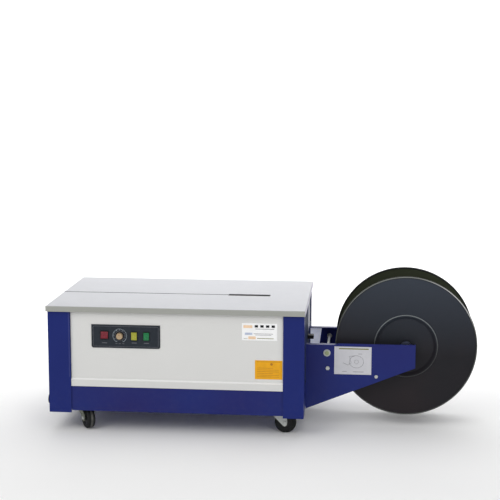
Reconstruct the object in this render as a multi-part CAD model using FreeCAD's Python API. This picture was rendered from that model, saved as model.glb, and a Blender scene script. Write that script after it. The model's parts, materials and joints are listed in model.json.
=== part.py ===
import FreeCAD, Part
import math
import os

# Semi automatic strapping machine, low table type, with an outrigger reel. Millimetres.
# Frame: origin on the floor under the middle of the whole machine, +X towards the reel,
# +Y to the rear, +Z up.

# ---- driving dimensions ----
FULL_LENGTH = 1500.0      # table's left edge to the reel's right rim
TABLE_LENGTH = 903.0
TABLE_WIDTH = 580.0
TABLE_HEIGHT = 450.0
LIP = 20.0                # folded edge round the table
SHEET = 2.0               # table and covers
FRAME_SHEET = 3.0         # posts, rails, arms
OVERHANG_LEFT = 5.0
OVERHANG_RIGHT = 4.0
OVERHANG_FRONT = 10.0
POST_FOOT = 68.0          # height of the posts' lower ends
RAIL_FOOT = 75.0
RAIL_TOP = 163.0
BASE_TOP = 103.0          # top of the base plate, on which the drive stands
REEL_RADIUS = 250.0
REEL_WIDTH = 208.0
REEL_HEIGHT = 293.0       # height of the axle
ARM_SPREAD = 280.0        # outer face to outer face
SLOT_Y = -22.0            # plane of the strap
CASTER_HEIGHT = 100.0
WHEEL_RADIUS = 37.5
RUN_FIT = 0.06            # radial clearance of a running fit

# ---- derived ----
X_LEFT = -FULL_LENGTH / 2
TABLE_RIGHT = X_LEFT + TABLE_LENGTH
HALF_Y = TABLE_WIDTH / 2
BODY_LEFT = X_LEFT + OVERHANG_LEFT
BODY_RIGHT = TABLE_RIGHT - OVERHANG_RIGHT
BODY_Y = HALF_Y - OVERHANG_FRONT
FRAME_TOP = TABLE_HEIGHT - SHEET
POST_LEFT_WIDTH = 79.0
POST_RIGHT_WIDTH = 72.0
POST_DEPTH = 62.0
INNER_LEFT = BODY_LEFT + POST_LEFT_WIDTH
INNER_RIGHT = BODY_RIGHT - POST_RIGHT_WIDTH
REEL_X = FULL_LENGTH / 2 - REEL_RADIUS
REEL_Y = REEL_WIDTH / 2
ARM_Y = ARM_SPREAD / 2
AXLE_RADIUS = 12.0

X_AXIS = FreeCAD.Vector(1, 0, 0)
Y_AXIS = FreeCAD.Vector(0, 1, 0)
Z_AXIS = FreeCAD.Vector(0, 0, 1)

os.makedirs("parts", exist_ok=True)


# ---- helpers ----
def box(low, high):
    """Block between two corners."""
    return Part.makeBox(high[0] - low[0], high[1] - low[1], high[2] - low[2], FreeCAD.Vector(*low))


def rod_x(y, z, radius, x0, x1):
    return Part.makeCylinder(radius, x1 - x0, FreeCAD.Vector(x0, y, z), X_AXIS)


def rod_y(x, z, radius, y0, y1):
    return Part.makeCylinder(radius, y1 - y0, FreeCAD.Vector(x, y0, z), Y_AXIS)


def rod_z(x, y, radius, z0, z1):
    return Part.makeCylinder(radius, z1 - z0, FreeCAD.Vector(x, y, z0), Z_AXIS)


def prism(points, travel):
    """Flat outline through the points, extruded by the vector."""
    corners = [FreeCAD.Vector(*point) for point in points]
    outline = Part.makePolygon(corners + corners[:1])
    return Part.Face(outline).extrude(FreeCAD.Vector(*travel))


def plate_xz(points, y0, y1):
    return prism([(x, y0, z) for x, z in points], (0, y1 - y0, 0))


def plate_yz(points, x0, x1):
    return prism([(x0, y, z) for y, z in points], (x1 - x0, 0, 0))


def hexagon_y(x, z, across, y0, y1):
    """Hexagon head with its axis along Y."""
    radius = across / math.sqrt(3)
    corners = [(x + radius * math.cos(math.radians(60 * i)), z + radius * math.sin(math.radians(60 * i)))
               for i in range(6)]
    return plate_xz(corners, y0, y1)


def join(*shapes):
    whole = shapes[0]
    for shape in shapes[1:]:
        whole = whole.fuse(shape)
    return whole.removeSplitter()


def mirror_y(shape):
    """The same shape on the other side of the machine's middle plane."""
    return shape.mirror(FreeCAD.Vector(0, 0, 0), Y_AXIS)


def save(name, shape):
    if not shape.isValid():
        print("INVALID", name)
    shape.exportStep("parts/" + name + ".step")
    print(name, len(shape.Solids), round(shape.Volume / 1000.0, 1), "cm3")


# ---- frame ----
def corner_post(x_outer, x_inner):
    """Front post: a folded section with a wide face, a side wall and two small return lips."""
    face = box((min(x_outer, x_inner), -BODY_Y, POST_FOOT),
               (max(x_outer, x_inner), -BODY_Y + FRAME_SHEET, FRAME_TOP))
    inward = 1 if x_inner > x_outer else -1
    side_x = sorted((x_outer, x_outer + inward * FRAME_SHEET))
    side = box((side_x[0], -BODY_Y, POST_FOOT), (side_x[1], -BODY_Y + POST_DEPTH, FRAME_TOP))
    lip_x = sorted((x_inner, x_inner - inward * FRAME_SHEET))
    lip = box((lip_x[0], -BODY_Y, POST_FOOT + 12), (lip_x[1], -BODY_Y + 5, FRAME_TOP))
    end_x = sorted((x_outer, x_outer + inward * 14))
    end = box((end_x[0], -BODY_Y + POST_DEPTH - FRAME_SHEET, POST_FOOT + 12),
              (end_x[1], -BODY_Y + POST_DEPTH, FRAME_TOP))
    return join(face, side, lip, end)


def posts():
    left = corner_post(BODY_LEFT, INNER_LEFT)
    right = corner_post(BODY_RIGHT, INNER_RIGHT)
    save("front_left_post", left)
    save("front_right_post", right)
    save("rear_left_post", mirror_y(left))
    save("rear_right_post", mirror_y(right))


def rails():
    """Channels between the posts, open to the inside."""
    face_y = -BODY_Y + 5
    depth = 20.0
    front = join(
        box((INNER_LEFT, face_y, RAIL_FOOT), (INNER_RIGHT, face_y + FRAME_SHEET, RAIL_TOP)),
        box((INNER_LEFT, face_y, RAIL_TOP - FRAME_SHEET), (INNER_RIGHT, face_y + depth, RAIL_TOP)),
        box((INNER_LEFT, face_y, RAIL_FOOT), (INNER_RIGHT, face_y + depth, RAIL_FOOT + FRAME_SHEET)))
    save("front_rail", front)
    save("rear_rail", mirror_y(front))
    end_y = BODY_Y - POST_DEPTH
    left = join(
        box((BODY_LEFT, -end_y, RAIL_FOOT), (BODY_LEFT + FRAME_SHEET, end_y, RAIL_TOP)),
        box((BODY_LEFT, -end_y, RAIL_TOP - FRAME_SHEET), (BODY_LEFT + depth, end_y, RAIL_TOP)))
    right = join(
        box((BODY_RIGHT - FRAME_SHEET, -end_y, RAIL_FOOT), (BODY_RIGHT, end_y, RAIL_TOP)),
        box((BODY_RIGHT - depth, -end_y, RAIL_TOP - FRAME_SHEET), (BODY_RIGHT, end_y, RAIL_TOP)))
    save("left_rail", left)
    save("right_rail", right)


def base_plate():
    """Floor of the body: a plate with its corners cut back for the posts."""
    low_x = BODY_LEFT + FRAME_SHEET
    high_x = BODY_RIGHT - FRAME_SHEET
    edge_y = BODY_Y - 5 - FRAME_SHEET
    plate = box((low_x, -edge_y, CASTER_HEIGHT), (high_x, edge_y, BASE_TOP))
    for x0, x1 in ((low_x, INNER_LEFT + 1), (INNER_RIGHT - 1, high_x)):
        for side in (-1, 1):
            y0, y1 = sorted((side * (BODY_Y - POST_DEPTH - 1), side * HALF_Y))
            plate = plate.cut(box((x0 - 1, y0, CASTER_HEIGHT - 1), (x1, y1, BASE_TOP + 1)))
    save("base_plate", plate)


# ---- table and covers ----
SLOT_END = -140.0         # where the narrow strap slot opens into the head opening
HEAD_END = 12.0
SLOT_WIDTH = 8.0
HEAD_WIDTH = 30.0


def table_top():
    """Pressed sheet tray, with folded edges, a narrow strap slot and the head opening."""
    outer = box((X_LEFT, -HALF_Y, TABLE_HEIGHT - LIP), (TABLE_RIGHT, HALF_Y, TABLE_HEIGHT))
    outer = outer.makeFillet(3.0, [edge for edge in outer.Edges
                                   if edge.BoundBox.ZMin > TABLE_HEIGHT - 0.1
                                   or edge.BoundBox.ZLength > LIP - 0.1])
    inner = box((X_LEFT + SHEET, -HALF_Y + SHEET, TABLE_HEIGHT - LIP - 1),
                (TABLE_RIGHT - SHEET, HALF_Y - SHEET, TABLE_HEIGHT - SHEET))
    slot = box((X_LEFT + SHEET + 1, SLOT_Y - SLOT_WIDTH / 2, TABLE_HEIGHT - LIP - 1),
               (SLOT_END + 1, SLOT_Y + SLOT_WIDTH / 2, TABLE_HEIGHT + 1))
    mouth = box((X_LEFT - 1, SLOT_Y - SLOT_WIDTH / 2, TABLE_HEIGHT - 9),
                (X_LEFT + 5, SLOT_Y + SLOT_WIDTH / 2, TABLE_HEIGHT + 1))
    head = box((SLOT_END, SLOT_Y - HEAD_WIDTH / 2, TABLE_HEIGHT - LIP - 1),
               (HEAD_END, SLOT_Y + HEAD_WIDTH / 2, TABLE_HEIGHT + 1))
    save("table_top", outer.cut(inner).cut(slot).cut(mouth).cut(head))


COVER_Y = -BODY_Y + 7     # front face of the front cover
BAND_TOP = 192.0          # top of the stepped band at the cover's foot
BAND_STEP = 5.0
PANEL_LEFT = -591.5
PANEL_RIGHT = -350.0
PANEL_TOP = 385.0
PANEL_FOOT = 302.5
CONTROL_Z = 346.0
SWITCH_X = -545.5
SWITCH_Z = 348.0
KNOB_X = -491.5
FEED_X = -441.0
RESET_X = -398.0
BUTTON_SIZE = (19.5, 27.0)
ROCKER_SIZE = (25.0, 24.0)
WINDOW = (100.0, 200.0, 313.0, 428.0)     # open window in the right end: y from, to, z from, to
INLET_Z = 303.0           # height of the strap where it enters


def cover_sheet(depth):
    """Flat cover with a stepped band along its foot and folded side edges."""
    back = COVER_Y + SHEET
    x0 = INNER_LEFT + 0.5
    x1 = INNER_RIGHT - 0.5
    outline = [(COVER_Y, FRAME_TOP - 6), (back, FRAME_TOP - 6), (back, BAND_TOP - 0.8),
               (back - BAND_STEP, BAND_TOP - 0.8 - BAND_STEP), (back - BAND_STEP, RAIL_TOP + 0.5),
               (COVER_Y - BAND_STEP, RAIL_TOP + 0.5), (COVER_Y - BAND_STEP, BAND_TOP - BAND_STEP),
               (COVER_Y, BAND_TOP)]
    sheet = plate_yz(outline, x0, x1)
    left = box((x0, COVER_Y, BAND_TOP - 4), (x0 + SHEET, COVER_Y + depth, FRAME_TOP - 6))
    right = box((x1 - SHEET, COVER_Y, BAND_TOP - 4), (x1, COVER_Y + depth, FRAME_TOP - 6))
    return join(sheet, left, right)


def covers():
    plain = cover_sheet(18.0)
    window = box((PANEL_LEFT + 14, COVER_Y - 1, CONTROL_Z - 26),
                 (PANEL_RIGHT - 14, COVER_Y + 5, CONTROL_Z + 26))
    save("front_cover", plain.cut(window))
    rear = mirror_y(plain)
    for row in range(6):
        z = 250.0 + 14 * row
        rear = rear.cut(box((-120, BODY_Y - 20, z), (20, BODY_Y, z + 5)))
    save("rear_cover", rear)
    end_y = BODY_Y - POST_DEPTH - 0.5
    save("left_cover", box((BODY_LEFT + 0.5, -end_y, RAIL_TOP + 0.5),
                           (BODY_LEFT + 0.5 + SHEET, end_y, FRAME_TOP - 12)))
    right = box((BODY_RIGHT - SHEET, -end_y, RAIL_TOP + 0.5), (BODY_RIGHT, end_y, FRAME_TOP - 12))
    notch = box((BODY_RIGHT - 5, SLOT_Y - 16, INLET_Z - 8), (BODY_RIGHT + 5, SLOT_Y + 16, INLET_Z + 8))
    y0, y1, z0, z1 = WINDOW
    save("right_cover", right.cut(notch).cut(box((BODY_RIGHT - 5, y0, z0), (BODY_RIGHT + 5, y1, z1))))
    save("end_plate", box((BODY_RIGHT, -15, 321), (BODY_RIGHT + 1.5, 85, FRAME_TOP - 14)))


def cable_gland():
    """Blank mains gland, low on the left side."""
    y = -BODY_Y + 18
    z = 112.0
    flange = rod_x(y, z, 17.5, X_LEFT, BODY_LEFT)
    save("cable_gland", flange)


def control_plate():
    radius = 7.0
    plate = box((PANEL_LEFT, COVER_Y - SHEET, PANEL_FOOT), (PANEL_RIGHT, COVER_Y, PANEL_TOP))
    plate = plate.makeFillet(radius, [edge for edge in plate.Edges
                                      if edge.BoundBox.YLength > SHEET - 0.1
                                      and edge.BoundBox.ZMax < PANEL_FOOT + 0.1])
    for x, z, width, height in ((SWITCH_X, SWITCH_Z, ROCKER_SIZE[0] + 1, ROCKER_SIZE[1] + 3),
                                (FEED_X, CONTROL_Z, BUTTON_SIZE[0] + 0.8, BUTTON_SIZE[1] + 0.8),
                                (RESET_X, CONTROL_Z, BUTTON_SIZE[0] + 0.8, BUTTON_SIZE[1] + 0.8)):
        plate = plate.cut(box((x - width / 2, COVER_Y - 5, z - height / 2),
                              (x + width / 2, COVER_Y + 5, z + height / 2)))
    plate = plate.cut(rod_y(KNOB_X, CONTROL_Z, 3.0 + RUN_FIT, COVER_Y - 5, COVER_Y + 5))
    save("control_plate", plate)


def controls():
    face = COVER_Y - SHEET
    width, height = ROCKER_SIZE
    half = height / 2
    rocker = plate_yz([(face + 6, -half + 2 + SWITCH_Z), (face - 4.5, -half + SWITCH_Z),
                       (face - 3, SWITCH_Z), (face - 4.5, half + SWITCH_Z),
                       (face + 6, half - 2 + SWITCH_Z)], SWITCH_X - width / 2, SWITCH_X + width / 2)
    rocker.rotate(FreeCAD.Vector(SWITCH_X, face, SWITCH_Z), X_AXIS, -8)
    save("power_switch", rocker)
    skirt = rod_y(KNOB_X, CONTROL_Z, 15.5, face - 3.5, face - 0.5)
    grip = Part.makeCone(12.0, 10.8, 10.0, FreeCAD.Vector(KNOB_X, face - 3.5, CONTROL_Z), -Y_AXIS)
    stem = rod_y(KNOB_X, CONTROL_Z, 3.0, face - 1, face + 8)
    pointer = box((KNOB_X - 0.8, face - 14.1, CONTROL_Z + 3), (KNOB_X + 0.8, face - 13, CONTROL_Z + 9.8))
    save("timer_knob", join(skirt, grip, stem, pointer))
    wide, tall = BUTTON_SIZE
    for name, x in (("feed_button", FEED_X), ("reset_button", RESET_X)):
        cap = box((x - wide / 2, face - 6, CONTROL_Z - tall / 2),
                  (x + wide / 2, face + 8, CONTROL_Z + tall / 2))
        save(name, cap.makeFillet(1.2, [edge for edge in cap.Edges if edge.BoundBox.YMax < face - 5.9]))


# ---- casters ----
TRAIL = 23.0
CASTER_Y = 212.0
CASTER_LEFT = -631.0
CASTER_RIGHT = 60.0
# name, swivel axis, direction of trail in degrees from +X
CASTERS = (("front_left", CASTER_LEFT, -CASTER_Y, -55.0), ("front_right", CASTER_RIGHT, -CASTER_Y, 0.0),
           ("rear_left", CASTER_LEFT, CASTER_Y, -40.0), ("rear_right", CASTER_RIGHT, CASTER_Y, -25.0))
WHEEL_HALF = 13.0
FORK_GAP = 15.5
FORK_SHEET = 3.0
FORK_FLARE = 12.0         # how far the shoulders stand out on each side


def caster_fork():
    """Fork at the origin, trailing along +X: race, a pressed fork with flared shoulders, and the axle."""
    near = FORK_GAP + FORK_SHEET
    wide = near + FORK_FLARE
    outer = [(near, 20), (near, 46), (wide, 80), (wide, 92)]
    inner = [(FORK_GAP, 20), (FORK_GAP, 47), (wide - FORK_SHEET, 81), (wide - FORK_SHEET, 89)]
    section = [(-y, z) for y, z in outer] + outer[::-1] + inner + [(-y, z) for y, z in inner[::-1]]
    side = [(-18, 92), (25, 92), (29.5, 40), (28, 30), (22, 24.5), (15, 27), (-13, 56), (-18, 66)]
    body = plate_yz(section, -20, 32).common(plate_xz(side, -wide - 1, wide + 1))
    race = rod_z(0, 0, 23, 92, 96.7)
    axle = rod_y(TRAIL, WHEEL_RADIUS, 4.0, -FORK_GAP - 6, FORK_GAP + 6)
    return join(body, race, axle)


def caster_wheel():
    """Solid tyre on a dished hub, turned about its axle."""
    hub = 21.0
    side = [(4.0 + RUN_FIT, WHEEL_HALF + 1.5), (8, WHEEL_HALF + 1.5), (9, WHEEL_HALF - 3),
            (hub, WHEEL_HALF - 2), (hub + 3, WHEEL_HALF), (WHEEL_RADIUS - 5, WHEEL_HALF),
            (WHEEL_RADIUS - 1, WHEEL_HALF - 5), (WHEEL_RADIUS, WHEEL_HALF - 8)]
    points = [(radius, -width) for radius, width in side] + side[::-1]
    corners = [FreeCAD.Vector(TRAIL + radius, width, WHEEL_RADIUS) for radius, width in points]
    face = Part.Face(Part.makePolygon(corners + corners[:1]))
    return face.revolve(FreeCAD.Vector(TRAIL, 0, WHEEL_RADIUS), Y_AXIS, 360)


def casters():
    plates = []
    fork = caster_fork()
    wheel = caster_wheel()
    for name, x, y, angle in CASTERS:
        place = FreeCAD.Placement(FreeCAD.Vector(x, y, 0), FreeCAD.Rotation(Z_AXIS, angle))
        for piece, shape in (("caster_fork_", fork), ("caster_wheel_", wheel)):
            copy = shape.copy()
            copy.Placement = place
            save(piece + name, copy)
        plates.append(box((x - 36, y - 32, CASTER_HEIGHT - 3), (x + 36, y + 32, CASTER_HEIGHT)))
    save("caster_plates", Part.makeCompound(plates))


# ---- reel stand ----
ARM_TOP = 305.5
FLANGE_TOP = 300.0        # top of the front arm where it carries the folded flange
REAR_TOP = 306.0
FLANGE_LENGTH = 109.0
ARM_FOOT = 66.0
ARM_END_X = 533.0
ARM_END_FOOT = 222.5
SHAFT_X = 223.0
SHAFT_Z = 271.0
PIVOT_X = 226.0
PIVOT_Z = 216.0
TIE_X = 397.0
TIE_Z = 189.0
SPRING_X = 172.0
SPRING_FOOT = 150.0
SPRING_TOP = 226.0
SPRING_Y = -126.0
LEVER_Y = (-118.0, -112.0)
SHOE_Y = (-108.0, -94.0)
INNER_Y = -ARM_Y + FRAME_SHEET


def arm_plate(root_top):
    """Front arm: a tapered cheek with folded edges and the saddle that carries the axle."""
    root_x = BODY_RIGHT
    flange_x = root_x + FLANGE_LENGTH
    cheek = plate_xz([(root_x, ARM_FOOT), (root_x, root_top), (flange_x, root_top), (flange_x + 4, ARM_TOP),
                      (ARM_END_X, ARM_TOP), (ARM_END_X, ARM_END_FOOT)], -ARM_Y, INNER_Y)
    root = box((root_x, -ARM_Y, ARM_FOOT), (root_x + FRAME_SHEET, -ARM_Y + 32, root_top))
    top = box((root_x, -ARM_Y, root_top - FRAME_SHEET), (flange_x, -ARM_Y + 24, root_top))
    hem_top = FRAME_SHEET + 1
    hem = plate_xz([(root_x, ARM_FOOT), (ARM_END_X, ARM_END_FOOT), (ARM_END_X, ARM_END_FOOT + hem_top),
                    (root_x, ARM_FOOT + hem_top)], -ARM_Y, -ARM_Y + 16)
    end = box((ARM_END_X - FRAME_SHEET, -ARM_Y, ARM_END_FOOT), (ARM_END_X, -ARM_Y + 16, ARM_TOP))
    saddle = box((REEL_X - 22, INNER_Y, REEL_HEIGHT - 30), (REEL_X + 22, INNER_Y + 9, ARM_TOP))
    notch = rod_y(REEL_X, REEL_HEIGHT, AXLE_RADIUS, INNER_Y, INNER_Y + 10)
    notch = notch.fuse(box((REEL_X - AXLE_RADIUS, INNER_Y, REEL_HEIGHT),
                           (REEL_X + AXLE_RADIUS, INNER_Y + 10, ARM_TOP + 1)))
    return join(cheek, root, top, hem, end, saddle).cut(notch)


def arms():
    front = arm_plate(FLANGE_TOP)
    for x, z, radius in ((PIVOT_X, PIVOT_Z, 5.0), (TIE_X, TIE_Z, 4.0)):
        front = front.cut(rod_y(x, z, radius, -ARM_Y - 1, INNER_Y + 1))
    save("front_arm", front)
    save("rear_arm", mirror_y(arm_plate(REAR_TOP)))
    plate_left = BODY_RIGHT + FRAME_SHEET
    plate_top = REAR_TOP - FRAME_SHEET
    outline = [(plate_left, 235), (185, 235), (194, plate_top), (plate_left, plate_top)]
    save("rear_arm_plate", plate_xz(outline, ARM_Y - 6, ARM_Y - FRAME_SHEET))


def stand_hardware():
    shaft = join(rod_y(SHAFT_X, SHAFT_Z, 5.0, INNER_Y, ARM_Y - FRAME_SHEET),
                 rod_y(SHAFT_X, SHAFT_Z, 9.0, ARM_Y - 7, ARM_Y - FRAME_SHEET))
    save("guide_shaft", shaft)
    front = join(rod_y(SHAFT_X, SHAFT_Z, 12.5, -ARM_Y - 2, -ARM_Y),
                 hexagon_y(SHAFT_X, SHAFT_Z, 17, -ARM_Y - 6, -ARM_Y - 2))
    pivot = join(hexagon_y(PIVOT_X, PIVOT_Z, 13, -ARM_Y - 4, -ARM_Y),
                 rod_y(PIVOT_X, PIVOT_Z, 5.0, -ARM_Y, LEVER_Y[1] + 6))
    tie = join(hexagon_y(TIE_X, TIE_Z, 11, -ARM_Y - 3.5, -ARM_Y), rod_y(TIE_X, TIE_Z, 4.0, -ARM_Y, INNER_Y),
               hexagon_y(TIE_X, TIE_Z, 11, INNER_Y, INNER_Y + 4))
    rear = mirror_y(front)
    spring_pin = rod_y(SPRING_X, SPRING_FOOT - 3, 3.0, INNER_Y, SPRING_Y + 6)
    bolts = [front, pivot, tie, rear, spring_pin]
    save("arm_bolts", Part.makeCompound(bolts))


SHOE_ANGLE = 200.0        # place of the brake shoe round the reel, from +X


def brake():
    """Two-armed lever on a pivot bolt: a rubber shoe faces the reel's rim, a spring pulls the other arm."""
    y0, y1 = LEVER_Y
    rim = REEL_RADIUS + 1.2
    middle = math.radians(SHOE_ANGLE)
    shoe_x = REEL_X + (rim + 16) * math.cos(middle)
    shoe_z = REEL_HEIGHT + (rim + 16) * math.sin(middle)
    long_arm = plate_xz([(PIVOT_X, PIVOT_Z - 9), (PIVOT_X, PIVOT_Z + 9), (SPRING_X - 6, SPRING_TOP + 9),
                         (SPRING_X - 6, SPRING_TOP - 3)], y0, y1)
    hook = rod_y(SPRING_X, SPRING_TOP + 3, 3.0, SPRING_Y - 6, y0)
    short_arm = plate_xz([(PIVOT_X - 6, PIVOT_Z - 9), (PIVOT_X + 4, PIVOT_Z + 9), (shoe_x + 1, shoe_z + 8),
                          (shoe_x - 2, shoe_z - 9)], y0, y1)
    backing = ring_sector(rim + 11, rim + 16, 196.5, 203.5, y0, SHOE_Y[1])
    lever = join(rod_y(PIVOT_X, PIVOT_Z, 11, y0, y1), long_arm, short_arm, backing, hook)
    lever = lever.cut(rod_y(PIVOT_X, PIVOT_Z, 5.0 + RUN_FIT, y0 - 1, y1 + 1))
    save("brake_lever", lever)
    save("brake_shoe", ring_sector(rim, rim + 11, 196.5, 203.5, *SHOE_Y))
    save("brake_spring", rod_z(SPRING_X, SPRING_Y, 5.0, SPRING_FOOT, SPRING_TOP))


def ring_sector(r0, r1, start, end, y0, y1):
    """Block of a ring round the reel's axle, between two angles from +X."""
    def at(radius, angle):
        turn = math.radians(angle)
        return FreeCAD.Vector(REEL_X + radius * math.cos(turn), y0, REEL_HEIGHT + radius * math.sin(turn))
    mid = (start + end) / 2
    outer = Part.Arc(at(r1, start), at(r1, mid), at(r1, end)).toShape()
    inner = Part.Arc(at(r0, end), at(r0, mid), at(r0, start)).toShape()
    sides = [Part.makeLine(at(r1, end), at(r0, end)), Part.makeLine(at(r0, start), at(r1, start))]
    wire = Part.Wire([outer, sides[0], inner, sides[1]])
    return Part.Face(wire).extrude(FreeCAD.Vector(0, y1 - y0, 0))


# ---- reel ----
HUB_BORE = AXLE_RADIUS + RUN_FIT
CORE_RADIUS = 100.0
FLANGE_SHEET = 2.5
BEAD_RADIUS = 108.5


def reel_flange():
    """Front flange: pressed disc with a sunken middle, a raised bead and a rolled rim."""
    deep = -REEL_Y + 10       # outer face of the sunken middle
    flat = -REEL_Y + 2.5      # outer face of the wide ring
    bead = -REEL_Y
    rim_roll = 3.5
    outer = [(HUB_BORE, deep), (BEAD_RADIUS - 12, deep), (BEAD_RADIUS - 3, bead + 1), (BEAD_RADIUS, bead),
             (BEAD_RADIUS + 3, bead + 1), (BEAD_RADIUS + 5, flat), (REEL_RADIUS - rim_roll, flat)]
    inner = [(radius, y + FLANGE_SHEET) for radius, y in reversed(outer)]
    corners = [FreeCAD.Vector(REEL_X + radius, y, REEL_HEIGHT) for radius, y in outer + inner]
    face = Part.Face(Part.makePolygon(corners + corners[:1]))
    disc = face.revolve(FreeCAD.Vector(REEL_X, 0, REEL_HEIGHT), Y_AXIS, 360)
    rim_middle = FreeCAD.Vector(REEL_X, -REEL_Y + rim_roll, REEL_HEIGHT)
    rim = Part.makeTorus(REEL_RADIUS - rim_roll, rim_roll, rim_middle, Y_AXIS)
    return disc.fuse(rim)


def reel():
    front = reel_flange()
    save("reel_front_flange", front)
    save("reel_rear_flange", mirror_y(front))
    inner_y = REEL_Y - 10 - FLANGE_SHEET
    drum = rod_y(REEL_X, REEL_HEIGHT, CORE_RADIUS - 8, -inner_y, inner_y)
    drum = drum.cut(rod_y(REEL_X, REEL_HEIGHT, CORE_RADIUS - 11, -inner_y - 1, inner_y + 1))
    tube = rod_y(REEL_X, REEL_HEIGHT, 20, -inner_y, inner_y)
    reach = CORE_RADIUS - 10
    spokes = [box((REEL_X - reach, -60, REEL_HEIGHT - 3), (REEL_X + reach, 60, REEL_HEIGHT + 3)),
              box((REEL_X - 3, -60, REEL_HEIGHT - reach), (REEL_X + 3, 60, REEL_HEIGHT + reach))]
    bore = rod_y(REEL_X, REEL_HEIGHT, HUB_BORE, -REEL_Y, REEL_Y)
    save("reel_core", join(drum, tube, spokes[0], spokes[1]).cut(bore))
    collar_y = REEL_Y + 3
    axle = join(rod_y(REEL_X, REEL_HEIGHT, AXLE_RADIUS, INNER_Y, -INNER_Y),
                rod_y(REEL_X, REEL_HEIGHT, 20, -collar_y - 10, -collar_y),
                rod_y(REEL_X, REEL_HEIGHT, 20, collar_y, collar_y + 10))
    save("reel_axle", axle)


# ---- strapping head ----
CAM_Z = 250.0
CAM_SHAFT_RADIUS = 12.0
CAM_LOBE = 50.0
CHEEK_LEFT = (-147.0, -139.0)
CHEEK_RIGHT = (11.0, 19.0)
PRESSES = (("left_gripper", -136.0, -96.0), ("centre_press", -92.0, -36.0), ("right_gripper", -32.0, 8.0))
PRESS_FOOT = 303.0
PRESS_TOP = 427.5
SLIDE_Z = 440.0


def head_frame():
    """Two cheeks on the base plate with guide plates in front of and behind the presses."""
    top = SLIDE_Z - 0.3
    cheeks = [box((x0, -80, BASE_TOP), (x1, 60, top)) for x0, x1 in (CHEEK_LEFT, CHEEK_RIGHT)]
    guides = [box((CHEEK_LEFT[1], y, 325), (CHEEK_RIGHT[0], y + 8, 424)) for y in (SLOT_Y - 24, SLOT_Y + 16)]
    foot = box((CHEEK_LEFT[1], -80, BASE_TOP), (CHEEK_RIGHT[0], 60, BASE_TOP + 8))
    frame = join(cheeks[0], cheeks[1], guides[0], guides[1], foot)
    save("head_frame", frame.cut(rod_x(SLOT_Y, CAM_Z, CAM_SHAFT_RADIUS + RUN_FIT, -160, 30)))


def presses():
    for name, x0, x1 in PRESSES:
        middle = (x0 + x1) / 2
        block = box((x0, SLOT_Y - 15, 330), (x1, SLOT_Y + 15, PRESS_TOP))
        stem = box((middle - 8, SLOT_Y - 8, PRESS_FOOT), (middle + 8, SLOT_Y + 8, 330))
        press = join(block, stem)
        for i in range(5):
            y = SLOT_Y - 15 + 6 * i
            press = press.cut(box((x0 - 1, y, PRESS_TOP - 1), (x1 + 1, y + 2, PRESS_TOP + 1)))
        save(name, press)
    plate = box((CHEEK_LEFT[0] + 1, SLOT_Y - 14, SLIDE_Z), (CHEEK_RIGHT[1] - 1, SLOT_Y + 14, SLIDE_Z + 7))
    save("slide_plate", plate)


def camshaft():
    save("camshaft", rod_x(SLOT_Y, CAM_Z, CAM_SHAFT_RADIUS, -232, 34))
    cams = []
    for middle, turn in ((-116, 0), (-86, 80), (-64, 130), (-12, 250)):
        disc = rod_x(SLOT_Y, CAM_Z, 36, middle - 7, middle + 7)
        angle = math.radians(turn)
        lobe = rod_x(SLOT_Y + 28 * math.cos(angle), CAM_Z + 28 * math.sin(angle), CAM_LOBE - 28,
                     middle - 7, middle + 7)
        cams.append(join(disc, lobe).cut(rod_x(SLOT_Y, CAM_Z, CAM_SHAFT_RADIUS, middle - 8, middle + 8)))
    save("cam_set", Part.makeCompound(cams))


# ---- drive ----
DRIVE_Y = 60.0
MOTOR_Z = 160.0
REDUCER_FACE = -262.0
PULLEY_X = (-286.0, -266.0)
BIG_PULLEY = 45.0
SMALL_PULLEY = 28.0
PIN = 8.0


def drive():
    motor = rod_x(DRIVE_Y, MOTOR_Z, 50, -425, -296)
    bell = rod_x(DRIVE_Y, MOTOR_Z, 38, -440, -425)
    feet = box((-400, DRIVE_Y - 45, BASE_TOP), (-320, DRIVE_Y + 45, MOTOR_Z - 30))
    fins = [rod_x(DRIVE_Y, MOTOR_Z, 52.5, -410 + 10 * i, -406 + 10 * i) for i in range(10)]
    pin = rod_x(DRIVE_Y, MOTOR_Z, PIN, -296, PULLEY_X[1] + 2)
    junction = box((-380, DRIVE_Y - 25, MOTOR_Z + 40), (-330, DRIVE_Y + 25, MOTOR_Z + 68))
    save("main_motor", join(motor, bell, feet, *fins, pin, junction))
    case = box((REDUCER_FACE, -78, 192), (-190, 112, 308))
    case = case.makeFillet(8, [edge for edge in case.Edges if edge.BoundBox.XLength > 60])
    stand = box((REDUCER_FACE + 6, -70, BASE_TOP), (-196, 104, 200))
    pin = rod_x(DRIVE_Y, CAM_Z, PIN, PULLEY_X[0] - 2, REDUCER_FACE)
    boss = rod_x(SLOT_Y, CAM_Z, 28, -190, -180)
    bore = rod_x(SLOT_Y, CAM_Z, CAM_SHAFT_RADIUS + RUN_FIT, -236, -179)
    save("gear_reducer", join(case, stand, pin, boss).cut(bore))
    save("reducer_pulley", pulley(BIG_PULLEY, CAM_Z))
    save("motor_pulley", pulley(SMALL_PULLEY, MOTOR_Z))
    save("drive_belt", belt())


def pulley(radius, z):
    """Belt pulley with two side flanges."""
    x0, x1 = PULLEY_X
    body = rod_x(DRIVE_Y, z, radius, x0, x1)
    sides = [rod_x(DRIVE_Y, z, radius + 5, x0, x0 + 3), rod_x(DRIVE_Y, z, radius + 5, x1 - 3, x1)]
    return join(body, sides[0], sides[1]).cut(rod_x(DRIVE_Y, z, PIN + RUN_FIT, x0 - 1, x1 + 1))


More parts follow.
